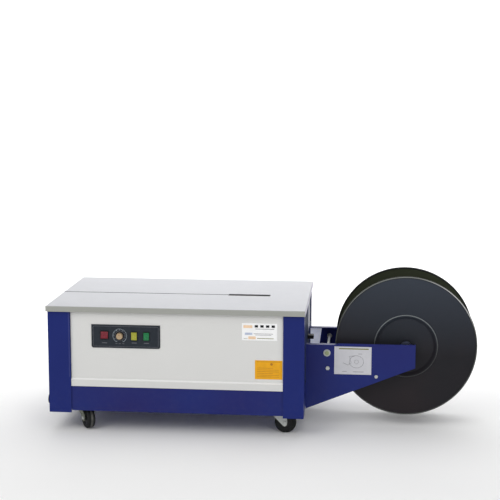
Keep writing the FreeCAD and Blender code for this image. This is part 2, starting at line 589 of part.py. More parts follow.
def loop(gap, x0, x1):
    """Filled outline of a band round both pulleys, standing off them by the gap."""
    big = BIG_PULLEY + gap
    small = SMALL_PULLEY + gap
    lean = math.asin((big - small) / (CAM_Z - MOTOR_Z))
    out = math.cos(lean)
    up = -math.sin(lean)
    corners = [(DRIVE_Y + big * out, CAM_Z + big * up), (DRIVE_Y + small * out, MOTOR_Z + small * up),
               (DRIVE_Y - small * out, MOTOR_Z + small * up), (DRIVE_Y - big * out, CAM_Z + big * up)]
    ends = [rod_x(DRIVE_Y, z, radius, x0, x1) for z, radius in ((CAM_Z, big), (MOTOR_Z, small))]
    return join(plate_yz(corners, x0, x1), ends[0], ends[1])


def belt():
    x0 = PULLEY_X[0] + 4
    x1 = PULLEY_X[1] - 4
    return loop(6.3, x0, x1).cut(loop(0.3, x0 - 1, x1 + 1))


# ---- strap feed ----
FEED_ROLLER = 25.0
PINCH_ROLLER = 18.0
FEED_ROLLER_X = 95.0
BRACKET_Y = (4.0, 8.0)


def feed():
    feed_z = INLET_Z - FEED_ROLLER - 0.5
    pinch_z = INLET_Z + PINCH_ROLLER + 0.5
    y0, y1 = BRACKET_Y
    plate = box((62, y0, BASE_TOP), (116, y1, 378))
    foot = box((62, y0, BASE_TOP), (116, y1 + 30, BASE_TOP + 4))
    pins = [rod_y(FEED_ROLLER_X, z, 6, SLOT_Y - 14, y0) for z in (feed_z, pinch_z)]
    save("feed_bracket", join(plate, foot, pins[0], pins[1]))
    for name, radius, z in (("feed_roller", FEED_ROLLER, feed_z), ("pinch_roller", PINCH_ROLLER, pinch_z)):
        roller = rod_y(FEED_ROLLER_X, z, radius, SLOT_Y - 12, SLOT_Y + 12)
        for groove in (-6, 0, 6):
            ring = rod_y(FEED_ROLLER_X, z, radius + 1, SLOT_Y + groove - 0.5, SLOT_Y + groove + 0.5)
            ring = ring.cut(rod_y(FEED_ROLLER_X, z, radius - 0.6, SLOT_Y - 12, SLOT_Y + 12))
            roller = roller.cut(ring)
        save(name, roller.cut(rod_y(FEED_ROLLER_X, z, 6 + RUN_FIT, SLOT_Y - 13, SLOT_Y + 13)))
    motor = join(rod_y(FEED_ROLLER_X, feed_z, 26, y1, y1 + 40),
                 rod_y(FEED_ROLLER_X, feed_z, 30, y1 + 40, y1 + 120))
    save("feed_motor", motor)
    block = box((128, SLOT_Y - 15, INLET_Z - 6.5), (171, SLOT_Y + 15, INLET_Z + 6.5))
    block = block.makeFillet(3, [edge for edge in block.Edges if edge.BoundBox.XMin > 170.9])
    save("strap_inlet", block.cut(box((127, SLOT_Y - 9, INLET_Z - 3), (172, SLOT_Y + 9, INLET_Z + 3))))


def electric_box():
    """Sheet case, open at the foot, with an overlapping door on the side towards the drive."""
    case = box((-715, 50, BASE_TOP), (-583, 245, 330))
    case = case.makeFillet(4, [edge for edge in case.Edges if edge.BoundBox.ZLength > 200])
    inside = box((-713, 52, BASE_TOP - 1), (-585, 243, 328))
    door = box((-583, 46, BASE_TOP + 6), (-581, 246, 334))
    save("electric_box", join(case.cut(inside), door))


posts()
rails()
base_plate()
table_top()
covers()
cable_gland()
control_plate()
controls()
casters()
arms()
stand_hardware()
brake()
reel()
head_frame()
presses()
camshaft()
drive()
feed()
electric_box()
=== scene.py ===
"""Looks of the semi automatic strapping machine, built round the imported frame. Metres."""
import json
import math

import bmesh
import bpy
from mathutils import Matrix, Vector


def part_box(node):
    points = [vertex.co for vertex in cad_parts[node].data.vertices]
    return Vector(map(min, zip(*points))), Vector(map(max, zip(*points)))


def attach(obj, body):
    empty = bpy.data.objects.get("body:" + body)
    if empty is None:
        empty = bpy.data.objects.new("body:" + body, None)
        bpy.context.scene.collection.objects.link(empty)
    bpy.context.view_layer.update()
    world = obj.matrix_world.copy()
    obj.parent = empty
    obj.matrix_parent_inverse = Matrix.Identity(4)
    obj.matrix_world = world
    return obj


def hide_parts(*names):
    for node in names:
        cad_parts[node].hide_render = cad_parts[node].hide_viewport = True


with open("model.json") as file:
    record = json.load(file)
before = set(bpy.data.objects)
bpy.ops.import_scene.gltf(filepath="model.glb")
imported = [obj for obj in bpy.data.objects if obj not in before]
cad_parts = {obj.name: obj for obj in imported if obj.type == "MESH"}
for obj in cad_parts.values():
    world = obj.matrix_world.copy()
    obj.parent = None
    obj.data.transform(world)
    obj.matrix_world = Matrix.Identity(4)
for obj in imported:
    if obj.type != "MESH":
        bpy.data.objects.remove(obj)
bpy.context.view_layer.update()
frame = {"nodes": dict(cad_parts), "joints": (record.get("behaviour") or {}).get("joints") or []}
NODES = frame["nodes"]


# ---------------------------------------------------------------- node helpers
def new_material(name):
    material = bpy.data.materials.new(name)
    material.use_nodes = True
    tree = material.node_tree
    shader = tree.nodes["Principled BSDF"]
    return material, tree, shader


def add(tree, kind, **settings):
    """A new node of a kind, with its settings."""
    node = tree.nodes.new(kind)
    for key, value in settings.items():
        setattr(node, key, value)
    return node


def link(tree, source, target):
    tree.links.new(source, target)


def position(tree, scale=(1, 1, 1)):
    """Object position, stretched by the scale."""
    coordinates = add(tree, "ShaderNodeTexCoord")
    mapping = add(tree, "ShaderNodeMapping")
    mapping.inputs["Scale"].default_value = scale
    link(tree, coordinates.outputs["Object"], mapping.inputs["Vector"])
    return mapping.outputs["Vector"]


def noise(tree, vector, scale, detail=3.0, rough=0.55):
    node = add(tree, "ShaderNodeTexNoise")
    node.inputs["Scale"].default_value = scale
    node.inputs["Detail"].default_value = detail
    node.inputs["Roughness"].default_value = rough
    link(tree, vector, node.inputs["Vector"])
    return node.outputs["Fac"]


def span(tree, value, low, high, to_low=0.0, to_high=1.0):
    """Value from low..high brought to to_low..to_high, clamped."""
    node = add(tree, "ShaderNodeMapRange")
    node.inputs["From Min"].default_value = low
    node.inputs["From Max"].default_value = high
    node.inputs["To Min"].default_value = to_low
    node.inputs["To Max"].default_value = to_high
    link(tree, value, node.inputs["Value"])
    return node.outputs["Result"]


def math_node(tree, operation, a, b=None):
    node = add(tree, "ShaderNodeMath", operation=operation)
    for socket, value in zip(node.inputs, (a, b)):
        if value is None:
            continue
        if isinstance(value, (int, float)):
            socket.default_value = value
        else:
            link(tree, value, socket)
    return node.outputs["Value"]


def mix(tree, factor, first, second):
    """Colour mix; first and second are colours or sockets."""
    node = add(tree, "ShaderNodeMix", data_type="RGBA")
    for socket, value in ((node.inputs[0], factor), (node.inputs[6], first), (node.inputs[7], second)):
        if isinstance(value, (int, float)):
            socket.default_value = value
        elif isinstance(value, (tuple, list)):
            socket.default_value = (*value[:3], 1.0)
        else:
            link(tree, value, socket)
    return node.outputs[2]


def bump(tree, shader, height, strength, distance):
    node = add(tree, "ShaderNodeBump")
    node.inputs["Strength"].default_value = strength
    node.inputs["Distance"].default_value = distance
    link(tree, height, node.inputs["Height"])
    link(tree, node.outputs["Normal"], shader.inputs["Normal"])


def edge_mask(tree, radius):
    """1 along sharp edges, 0 on flat faces."""
    bevel = add(tree, "ShaderNodeBevel", samples=4)
    bevel.inputs["Radius"].default_value = radius
    geometry = add(tree, "ShaderNodeNewGeometry")
    dot = add(tree, "ShaderNodeVectorMath", operation="DOT_PRODUCT")
    link(tree, bevel.outputs["Normal"], dot.inputs[0])
    link(tree, geometry.outputs["Normal"], dot.inputs[1])
    return span(tree, dot.outputs["Value"], 0.985, 0.90)


def place_along(tree, axis):
    """The object coordinate along an axis."""
    coordinates = add(tree, "ShaderNodeTexCoord")
    split = add(tree, "ShaderNodeSeparateXYZ")
    link(tree, coordinates.outputs["Object"], split.inputs["Vector"])
    return split.outputs[axis]


def shade(colour, factor):
    return tuple(min(1.0, channel * factor) for channel in colour)


def facing(tree, axis):
    """The face's own normal along an axis, in the object's frame."""
    coordinates = add(tree, "ShaderNodeTexCoord")
    split = add(tree, "ShaderNodeSeparateXYZ")
    link(tree, coordinates.outputs["Normal"], split.inputs["Vector"])
    return split.outputs[axis]


def both(tree, first, second):
    """Where both masks hold: their product."""
    return math_node(tree, "MULTIPLY", first, second)


# ---------------------------------------------------------------- where the paint and the painted light change, in metres
SLOT_PLANE = -0.022               # the strap slot's middle, along Y
SLOT_WALLS = (0.035, 0.030)       # distance from that plane where the painted shadow on the slot's walls begins
FOOT_BAND = (0.200, 0.195)        # a cover's foot lies below this height
RUBBED_X = (0.55, 0.66)           # painted highlight: a glint on the upper right of the reel's rolled lip
RUBBED_Z = (0.36, 0.42)
DUST_HEIGHT = (0.20, 0.06)        # dust thickens from the first height down to the second
# slightly darker, warmer tone laid thinly on a cover's foot band
GRIME = (0.40, 0.40, 0.36)
DUST = (0.16, 0.15, 0.14)


def lip_tones(tree, base, front_lip, side_lip, slot_wall):
    """Painted shade on the lip faces that do not look up, painted light on the right end lip, and painted
    shadow on the walls inside the slot.
    """
    base = mix(tree, span(tree, facing(tree, "Z"), 0.85, 0.35), base, front_lip)
    base = mix(tree, span(tree, facing(tree, "X"), 0.5, 0.9), base, side_lip)
    from_slot = math_node(tree, "ABSOLUTE", math_node(tree, "ADD", place_along(tree, "Y"), -SLOT_PLANE))
    walls = both(tree, span(tree, from_slot, *SLOT_WALLS),
                 span(tree, math_node(tree, "ABSOLUTE", facing(tree, "Y")), 0.5, 0.9))
    return mix(tree, walls, base, slot_wall)


def foot_tones(tree, base, crease):
    """A slightly darker, warmer tone on a cover's foot band, and a painted highlight on the sloping fold at
    its top.
    """
    low_down = span(tree, place_along(tree, "Z"), *FOOT_BAND)
    fold = both(tree, low_down, span(tree, facing(tree, "Z"), 0.3, 0.5))
    base = mix(tree, both(tree, low_down, 0.06), base, GRIME)
    return mix(tree, fold, base, crease)


def zone_tones(tree, base, colour, fade=None, rubbed=None, inside=None, crease=None, lips=None):
    """Zone colours of a piece, laid over its base colour; most of them are painted light and shade.

    fade holds (low, high, factor): painted light from above, the paint paler by the factor above the height
    high.
    rubbed is the colour of a painted highlight, a glint on the upper right of the reel's rolled lip.
    inside is the colour of the rear flange's face towards the strap.
    crease is the colour of a painted highlight on the sloping fold at the top of a cover's foot band.
    lips holds the colours of the table's lip in painted shade, its right end lip in painted light and the
    slot's walls in painted shadow.
    """
    # painted light from above: paler towards the top
    if fade:
        low, high, factor = fade
        base = mix(tree, span(tree, place_along(tree, "Z"), low, high), base, shade(colour, factor))
    # painted highlight: a glint on the reel's rolled lip
    if rubbed:
        across = span(tree, place_along(tree, "X"), *RUBBED_X)
        patch = both(tree, across, span(tree, place_along(tree, "Z"), *RUBBED_Z))
        base = mix(tree, patch, base, rubbed)
    if inside:
        turned_in = span(tree, facing(tree, "Y"), -0.3, -0.7)
        at_rear = span(tree, place_along(tree, "Y"), 0.0, 0.05)
        base = mix(tree, both(tree, turned_in, at_rear), base, inside)
    # painted highlight on the fold of a cover's foot band
    if crease:
        base = foot_tones(tree, base, crease)
    # painted light and shade on the table's lips and in its slot
    if lips:
        base = lip_tones(tree, base, *lips)
    return base


# ---------------------------------------------------------------- materials
def paint(name, colour, roughness, worn, peel=0.10, tone=0.06, dust=0.0, gloss=0.2, second=None, **zones):
    """Sprayed enamel: orange peel, slow drifts of tone, worn edges and a little dust towards the floor."""
    material, tree, shader = new_material(name)
    place = position(tree)
    drift = span(tree, noise(tree, place, 3.0, 3.0), 0.3, 0.7)
    base = mix(tree, drift, shade(colour, 1 - tone), shade(second or colour, 1 + tone))
    base = zone_tones(tree, base, colour, **zones)
    fine = noise(tree, place, 60.0, 5.0)
    scuff = noise(tree, position(tree, (1, 1, 7)), 30.0, 6.0, 0.7)
    base = mix(tree, both(tree, span(tree, scuff, 0.62, 0.78), 0.10), base, shade(colour, 0.82))
    if dust:
        low = span(tree, place_along(tree, "Z"), *DUST_HEIGHT)
        film = both(tree, both(tree, low, span(tree, fine, 0.45, 0.75)), dust)
        base = mix(tree, film, base, DUST)
    edge = both(tree, edge_mask(tree, 0.0008), span(tree, fine, 0.52, 0.68))
    base = mix(tree, both(tree, edge, 0.5), base, worn)
    link(tree, base, shader.inputs["Base Color"])
    link(tree, span(tree, scuff, 0.3, 0.8, roughness - 0.05, roughness + 0.10), shader.inputs["Roughness"])
    bump(tree, shader, noise(tree, place, 420.0, 2.0), peel, 0.0004)
    shader.inputs["Specular IOR Level"].default_value = gloss
    return material


def metal(name, colour, roughness, brush=(1, 1, 1), tint=(0.5, 0.45, 0.3), tinted=0.15, purity=1.0):
    """Plated or machined steel with brush lines, cloudy plating and dull spots."""
    material, tree, shader = new_material(name)
    lines = noise(tree, position(tree, brush), 350.0, 3.0, 0.6)
    cloud = noise(tree, position(tree), 45.0, 4.0)
    base = mix(tree, span(tree, cloud, 0.35, 0.7), shade(colour, 0.85), shade(colour, 1.10))
    base = mix(tree, both(tree, span(tree, cloud, 0.55, 0.75), tinted), base, tint)
    link(tree, base, shader.inputs["Base Color"])
    shader.inputs["Metallic"].default_value = purity
    link(tree, span(tree, lines, 0.3, 0.7, roughness - 0.07, roughness + 0.12), shader.inputs["Roughness"])
    bump(tree, shader, lines, 0.12, 0.0003)
    return material


def moulded(name, colour, roughness, grain=700.0, depth=0.10, gloss=0.2, glow=0.0, speck=0.05):
    """Moulded plastic or rubber: fine spark grain, faint tone drift and paler edges."""
    material, tree, shader = new_material(name)
    place = position(tree)
    drift = noise(tree, place, 55.0, 4.0)
    base = mix(tree, span(tree, drift, 0.3, 0.7), shade(colour, 1 - speck * 2), shade(colour, 1 + speck * 2))
    base = mix(tree, both(tree, edge_mask(tree, 0.0006), 0.25), base, shade(colour, 1.8))
    link(tree, base, shader.inputs["Base Color"])
    link(tree, span(tree, drift, 0.3, 0.7, roughness - 0.06, roughness + 0.08), shader.inputs["Roughness"])
    bump(tree, shader, noise(tree, place, grain, 2.0), depth, 0.0003)
    shader.inputs["Specular IOR Level"].default_value = gloss
    if glow:
        link(tree, base, shader.inputs["Emission Color"])
        shader.inputs["Emission Strength"].default_value = glow
    return material


# Table lip colours: the lip in painted shade, the right end lip in painted light, the slot's walls in painted
# shadow.
LIP_TONES = ((0.355, 0.362, 0.335), (0.62, 0.60, 0.72), (0.10, 0.10, 0.11))
MAT = {
    "blue": paint("blue_powder_coat", (0.0150, 0.0250, 0.154), 0.42, (0.05, 0.06, 0.16), peel=0.14, dust=0.05,
                  gloss=0.08),
    # Greyer, paler blue with almost no gloss: a painted reflection, the sheen of blue paint seen edge-on.
    "blue_end": paint("blue_end_coat", (0.030, 0.040, 0.090), 0.50, (0.06, 0.07, 0.16), peel=0.14, dust=0.05,
                      gloss=0.01),
    "blue_stand": paint("blue_stand_coat", (0.0145, 0.0160, 0.134), 0.38, (0.06, 0.06, 0.16), peel=0.14,
                        dust=0.05, second=(0.009, 0.020, 0.150)),
    # The cover's pale fold colour is a painted highlight on the fold of its foot band.
    "cover": paint("cover_enamel", (0.712, 0.712, 0.697), 0.42, (0.55, 0.55, 0.53), tone=0.012, dust=0.05,
                   crease=(0.84, 0.84, 0.83)),
    "table": paint("table_enamel", (0.592, 0.600, 0.632), 0.42, (0.50, 0.50, 0.48), peel=0.05, tone=0.012,
                   gloss=0.12, lips=LIP_TONES),
    # A paler blue: painted highlight on the post's fold.
    "blue_fold": paint("blue_fold_line", (0.050, 0.062, 0.20), 0.38, (0.06, 0.07, 0.18), peel=0.14,
                       tone=0.10),
    # The reel's paint is paler towards the top: painted light from above, and it turns with the reel.
    "reel": paint("reel_enamel", (0.0123, 0.0149, 0.0200), 0.44, (0.09, 0.09, 0.085), peel=0.16, tone=0.16,
                  gloss=0.14, second=(0.0180, 0.0148, 0.0170), fade=(0.26, 0.54, 3.2),
                  inside=(0.036, 0.042, 0.025)),
    "rim": paint("rim_enamel", (0.013, 0.0145, 0.0145), 0.40, (0.06, 0.06, 0.06), tone=0.30, gloss=0.3),
    # The rolled lip is paler than the rim, paler again at the top, and has a glint: all painted highlight.
    "lip": paint("worn_lip", (0.060, 0.064, 0.060), 0.40, (0.20, 0.20, 0.19), tone=0.30, gloss=0.4,
                 fade=(0.36, 0.52, 3.2), rubbed=(0.52, 0.52, 0.52)),
    # The bead is paler than the reel and far paler at the top: a painted highlight along it.
    "bead": paint("bead_edge", (0.026, 0.029, 0.030), 0.40, (0.14, 0.14, 0.13), tone=0.20, gloss=0.4,
                  fade=(0.26, 0.37, 6.0)),
    "machine": paint("machine_enamel", (0.08, 0.13, 0.15), 0.45, (0.30, 0.30, 0.30), peel=0.2, dust=0.3),
    "casting": paint("casting_enamel", (0.16, 0.175, 0.18), 0.5, (0.35, 0.35, 0.35), peel=0.5, dust=0.3),
    "case": paint("case_enamel", (0.48, 0.49, 0.48), 0.42, (0.36, 0.36, 0.36), dust=0.2),
    "end_plate": paint("end_plate_coat", (0.24, 0.25, 0.37), 0.40, (0.30, 0.30, 0.34), tone=0.08),
    # Pale lavender-grey, lifted further and glowing: painted light on a plate that lies in the arms' shade.
    "plate": moulded("pale_plate", (0.79, 0.82, 0.98), 0.40, grain=250, depth=0.06, gloss=0.4, glow=0.25,
                     speck=0.02),
    "panel": moulded("panel_film", (0.020, 0.026, 0.035), 0.46, grain=1400, depth=0.08, speck=0.06),
    "black": moulded("black_moulding", (0.010, 0.010, 0.012), 0.42),
    "red": moulded("red_lens", (0.17, 0.009, 0.020), 0.26, grain=300, depth=0.03, gloss=0.45, glow=0.05),
    "yellow": moulded("yellow_lens", (0.36, 0.36, 0.030), 0.26, grain=300, depth=0.03, gloss=0.45),
    "green": moulded("green_lens", (0.002, 0.165, 0.048), 0.26, grain=300, depth=0.03, gloss=0.45),
    "cream": moulded("knob_cap", (0.42, 0.31, 0.19), 0.38, grain=500, depth=0.05, gloss=0.4),
    "rubber": moulded("rubber", (0.010, 0.010, 0.010), 0.66, grain=500, depth=0.3),
    "tyre": moulded("tyre_rubber", (0.009, 0.010, 0.010), 0.62, grain=420, depth=0.3, speck=0.12),
    # Paler middle strip of the tyre: wear, and a painted highlight.
    "tread": moulded("worn_tread", (0.095, 0.095, 0.088), 0.66, grain=420, depth=0.3, speck=0.2),
    "hub": moulded("wheel_hub", (0.016, 0.017, 0.018), 0.50, grain=500, depth=0.1, speck=0.1),
    "core": moulded("core_moulding", (0.016, 0.016, 0.018), 0.5, grain=300, depth=0.3),
    "ink": moulded("pale_print", (0.36, 0.41, 0.46), 0.5, grain=900, depth=0.03),
    "ink_grey": moulded("grey_print", (0.16, 0.16, 0.18), 0.5, grain=900, depth=0.03),
    "ink_peach": moulded("peach_print", (0.86, 0.62, 0.42), 0.5, grain=900, depth=0.03),
    "ink_sky": moulded("sky_print", (0.50, 0.56, 0.70), 0.5, grain=900, depth=0.03),
    "ink_olive": moulded("olive_print", (0.20, 0.20, 0.05), 0.5, grain=900, depth=0.03),
    "ink_brown": moulded("brown_print", (0.42, 0.17, 0.02), 0.5, grain=900, depth=0.03),
    "label": moulded("label_white", (0.95, 0.955, 0.955), 0.46, grain=250, depth=0.06, speck=0.01),
    "label_arm": moulded("label_grey", (0.60, 0.60, 0.63), 0.46, grain=250, depth=0.06, speck=0.015),
    "label_orange": moulded("label_orange", (0.80, 0.385, 0.013), 0.46, grain=250, depth=0.06, speck=0.03),
    "zinc": metal("zinc_plate", (0.52, 0.54, 0.52), 0.42, purity=0.55),
    "zinc_yellow": metal("yellow_zinc", (0.33, 0.38, 0.21), 0.40, tint=(0.40, 0.39, 0.19), tinted=0.25,
                         purity=0.4),
    # Darker olive zinc for one fork only: painted shade.
    "zinc_olive": metal("olive_zinc", (0.20, 0.215, 0.165), 0.46, tint=(0.15, 0.16, 0.09), tinted=0.3,
                        purity=0.5),
    "steel": metal("machined_steel", (0.50, 0.50, 0.51), 0.32, brush=(1, 8, 1)),
    "dark_steel": metal("dark_steel", (0.09, 0.10, 0.15), 0.45),
    "oxide": metal("blackened_steel", (0.045, 0.036, 0.032), 0.42, tint=(0.20, 0.07, 0.04), tinted=0.6),
}


def dress(name, key, bevel=0.0, segments=2):
    """Gives a CAD node its material and, where it is sheet or block, softly broken edges."""
    node = NODES[name]
    node.data.materials.clear()
    node.data.materials.append(MAT[key])
    if bevel:
        edges = node.modifiers.new("broken_edges", "BEVEL")
        edges.width = bevel
        edges.segments = segments
        edges.limit_method = "ANGLE"
        edges.angle_limit = math.radians(40)


# ---------------------------------------------------------------- mesh helpers
def place_mesh(name, mesh, key, body, smooth=True, replaces=()):
    """Makes a piece of the mesh, in a material, riding a body."""
    piece = bpy.data.objects.new(name, mesh)
    bpy.context.scene.collection.objects.link(piece)
    mesh.materials.append(MAT[key])
    for polygon in mesh.polygons:
        polygon.use_smooth = smooth
    if smooth:
        mesh.set_sharp_from_angle(angle=math.radians(35))
    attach(piece, body)
    if replaces:
        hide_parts(*replaces)


def from_bmesh(name, shape, key, body, **options):
    """Makes a piece of a finished shape and frees the shape."""
    bmesh.ops.recalc_face_normals(shape, faces=shape.faces)
    mesh = bpy.data.meshes.new(name)
    shape.to_mesh(mesh)
    shape.free()
    place_mesh(name, mesh, key, body, **options)


def block(shape, low, high, bevel=0.0):
    """Adds a block between two corners, with its edges cut by the bevel."""
    made = bmesh.ops.create_cube(shape, size=1.0)
    centre = [(a + b) / 2 for a, b in zip(low, high)]
    size = [b - a for a, b in zip(low, high)]
    for vertex in made["verts"]:
        vertex.co = Vector([c + v * s for c, v, s in zip(centre, vertex.co, size)])
    if bevel:
        edges = {edge for vertex in made["verts"] for edge in vertex.link_edges}
        bmesh.ops.bevel(shape, geom=list(edges), offset=bevel, segments=1, profile=0.5, affect="EDGES")


def lathe(shape, profile, centre, axis, steps):
    """Adds a solid of revolution. The profile holds (radius, distance along the axis)."""
    along = Vector(axis).normalized()
    side = along.orthogonal().normalized()
    other = along.cross(side)
    rings = []
    for step in range(steps):
        angle = 2 * math.pi * step / steps
        out = side * math.cos(angle) + other * math.sin(angle)
        rings.append([shape.verts.new(Vector(centre) + out * radius + along * distance)
                      for radius, distance in profile])
    count = len(profile)
    for step in range(steps):
        this, following = rings[step], rings[(step + 1) % steps]
        for i in range(count):
            j = (i + 1) % count
            shape.faces.new((this[i], this[j], following[j], following[i]))
    bmesh.ops.remove_doubles(shape, verts=[v for ring in rings for v in ring], dist=1e-6)


def turned(name, profile, centre, axis, steps, key, body, **options):
    """Makes a piece of one solid of revolution."""
    shape = bmesh.new()
    lathe(shape, profile, centre, axis, steps)
    from_bmesh(name, shape, key, body, **options)


def turned_block(shape, low, high, degrees, place, bevel=0.0):
    """Adds a block that is made at the origin, turned about Y and moved to its place."""
    start = len(shape.verts)
    block(shape, low, high, bevel)
    shape.verts.ensure_lookup_table()
    turn = Matrix.Rotation(math.radians(degrees), 4, "Y")
    for vertex in shape.verts[start:]:
        vertex.co = turn @ vertex.co + Vector(place)


def face_arc(x, y, z, across, up, degrees):
    """Points of an arc on a face that looks along -Y, in degrees from +X towards +Z."""
    angles = [math.radians(step) for step in degrees]
    return [(x + across * math.cos(a), y, z + up * math.sin(a)) for a in angles]


def arc(centre_radius, centre_along, radius, start, end, count):
    """Points of an arc in a lathe's profile, angles in degrees from +radius towards +along."""
    points = []
    for i in range(count + 1):
        angle = math.radians(start + (end - start) * i / count)
        points.append((centre_radius + radius * math.cos(angle), centre_along + radius * math.sin(angle)))
    return points


def tube(name, points, radius, key, body, closed=False, resolution=2, **options):
    """A bent wire or printed line through the points."""
    curve = bpy.data.curves.new(name, "CURVE")
    curve.dimensions = "3D"
    curve.bevel_depth = radius
    curve.bevel_resolution = resolution
    spline = curve.splines.new("POLY")
    spline.points.add(len(points) - 1)
    for point, place in zip(spline.points, points):
        point.co = (*place, 1.0)
    spline.use_cyclic_u = closed
    curve.use_fill_caps = not closed
    holder = bpy.data.objects.new(name + "_path", curve)
    bpy.context.scene.collection.objects.link(holder)
    bpy.context.view_layer.update()
    mesh = bpy.data.meshes.new_from_object(holder.evaluated_get(bpy.context.evaluated_depsgraph_get()))
    mesh.name = name
    bpy.data.objects.remove(holder)
    bpy.data.curves.remove(curve)
    mesh.materials.clear()
    place_mesh(name, mesh, key, body, **options)


def middle(node):
    """Middle of a CAD node's box."""
    low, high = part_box(node)
    return (low + high) / 2


def rounded_loop(width, height, radius):
    """Points of a rounded rectangle about the origin, as (across, up)."""
    steps = 5
    points = []
    for quarter, (sx, sy) in enumerate(((1, 1), (-1, 1), (-1, -1), (1, -1))):
        for i in range(steps + 1):
            angle = math.radians(90 * quarter + 90 * i / steps)
            points.append((sx * (width / 2 - radius) + radius * math.cos(angle),
                           sy * (height / 2 - radius) + radius * math.sin(angle)))
    return points


def loft(shape, layers, centre, capped=False):
    """Stacks rounded rectangles facing -Y. A layer holds (width, height, radius, y)."""
    loops = []
    for width, tall, radius, y in layers:
        loops.append([shape.verts.new((centre[0] + a, y, centre[1] + b))
                      for a, b in rounded_loop(width, tall, radius)])
    for first, second in zip(loops, loops[1:]):
        for i in range(len(first)):
            j = (i + 1) % len(first)
            shape.faces.new((first[i], first[j], second[j], second[i]))
    if capped:
        shape.faces.new(loops[0])
        shape.faces.new(loops[-1])
    else:
        for i in range(len(loops[0])):
            j = (i + 1) % len(loops[0])
            shape.faces.new((loops[-1][i], loops[-1][j], loops[0][j], loops[0][i]))


def joint(name):
    """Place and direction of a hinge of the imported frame."""
    found = [j for j in frame["joints"] if j["name"] == name][0]
    return Vector(found["pos_m"]), Vector(found["axis"]).normalized()


# ---------------------------------------------------------------- CAD nodes that keep their shape
CORNERS = ("front_left", "front_right", "rear_left", "rear_right")
BEVELS = {"front_left_post": 0.0012, "front_right_post": 0.0012, "rear_left_post": 0.0012,
          "rear_right_post": 0.0012, "brake_shoe": 0.001, "camshaft": 0.0008, "base_plate": 0.0}
USUAL_BEVEL = 0.0006


def dress_cad():
    """Materials and broken edges of the CAD nodes that stay in the scene."""
    keys = {
        "blue": ["front_left_post", "front_right_post", "rear_left_post", "rear_right_post", "base_plate"],
        "blue_stand": ["front_rail", "rear_rail", "left_rail", "right_rail", "front_arm", "rear_arm"],
        "blue_end": ["right_cover"],
        "cover": ["front_cover", "rear_cover", "left_cover"],
        # front left fork in painted shade
        "zinc_olive": ["caster_fork_front_left"],
        "zinc": ["caster_plates", "caster_fork_front_right", "caster_fork_rear_left",
                 "caster_fork_rear_right", "guide_shaft", "feed_bracket", "brake_lever"],
        "steel": ["head_frame", "left_gripper", "centre_press", "right_gripper", "camshaft", "cam_set",
                  "motor_pulley", "reducer_pulley", "feed_roller"],
        "rubber": ["brake_shoe", "drive_belt", "pinch_roller"],
        "machine": ["main_motor", "feed_motor"],
        "dark_steel": ["reel_axle"],
        "black": ["strap_inlet"],
    }
    for key, names in keys.items():
        for name in names:
            dress(name, key, BEVELS.get(name, USUAL_BEVEL))
    dress("table_top", "table")
    dress("control_plate", "panel", 0.0004)
    dress("gear_reducer", "casting", 0.002)
    dress("electric_box", "case", 0.001)
    dress("slide_plate", "oxide", 0.0005)
    # the plate's glow is painted light
    dress("rear_arm_plate", "plate", 0.0005)
    dress("end_plate", "end_plate", 0.0004)
    dress("power_switch", "red", 0.0009, 3)
    dress("arm_bolts", "zinc", 0.0005)


# ---------------------------------------------------------------- control plate
PRINT = 0.0001            # printed lines and bars stand this far proud
BEZEL_RIM = 0.0020


def controls():
    low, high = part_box("control_plate")
    face = low.y
    switch_z = joint("power_rock")[0].z
    key_z = joint("timer_turn")[0].z
    centre = ((low.x + high.x) / 2, (low.z + high.z) / 2)
    border = [(centre[0] + a, face - PRINT, centre[1] + b)
              for a, b in rounded_loop(high.x - low.x - 0.0125, high.z - low.z - 0.0115, 0.004)]
    tube("panel_border", border, 0.00045, "ink_grey", "chassis", closed=True)
    bezel("switch_bezel", "power_switch", switch_z, face, 0.0262, 0.0272)
    bezel("feed_bezel", "feed_button", key_z, face, 0.0201, 0.0276)
    bezel("reset_bezel", "reset_button", key_z, face, 0.0201, 0.0276)
    key_lens("feed_lens", "feed_button", key_z, "yellow", "feed_key")
    key_lens("reset_lens", "reset_button", key_z, "green", "reset_key")
    timer_dial(face)
    caption_bars(face, switch_z, key_z)


def bezel(name, node, z, face, wide, tall):
    """Frame round a key, with a sloping outer edge and an open middle."""
    full_wide, full_tall = wide + 2 * BEZEL_RIM, tall + 2 * BEZEL_RIM
    shape = bmesh.new()
    loft(shape, [(wide, tall, 0.0012, face), (full_wide, full_tall, 0.003, face),
                 (full_wide, full_tall, 0.003, face - 0.0014),
                 (full_wide - 0.001, full_tall - 0.001, 0.0026, face - 0.002),
                 (wide + 0.0006, tall + 0.0006, 0.0014, face - 0.002), (wide, tall, 0.0012, face - 0.0016)],
         (middle(node).x, z))
    from_bmesh(name, shape, "black", "chassis")


def key_lens(name, node, z, key, body):
    """Key with straight sides, a rounded edge and a slightly domed front."""
    low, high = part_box(node)
    wide, tall = high.x - low.x, high.z - low.z
    front = low.y
    layers = [(wide, tall, 0.0012, high.y), (wide, tall, 0.0012, front + 0.0022),
              (wide - 0.0005, tall - 0.0005, 0.0016, front + 0.0014),
              (wide - 0.0018, tall - 0.0018, 0.0020, front + 0.0009)]
    for i in range(1, 5):
        part = 1 - 0.2 * i
        dome = front + 0.0008 * (1 - i / 4) ** 2
        layers.append((wide * part - 0.002, tall * part - 0.002, 0.002 * (1 - 0.16 * i), dome))
    shape = bmesh.new()
    loft(shape, layers, (middle(node).x, z), capped=True)
    from_bmesh(name, shape, key, body, replaces=[node])


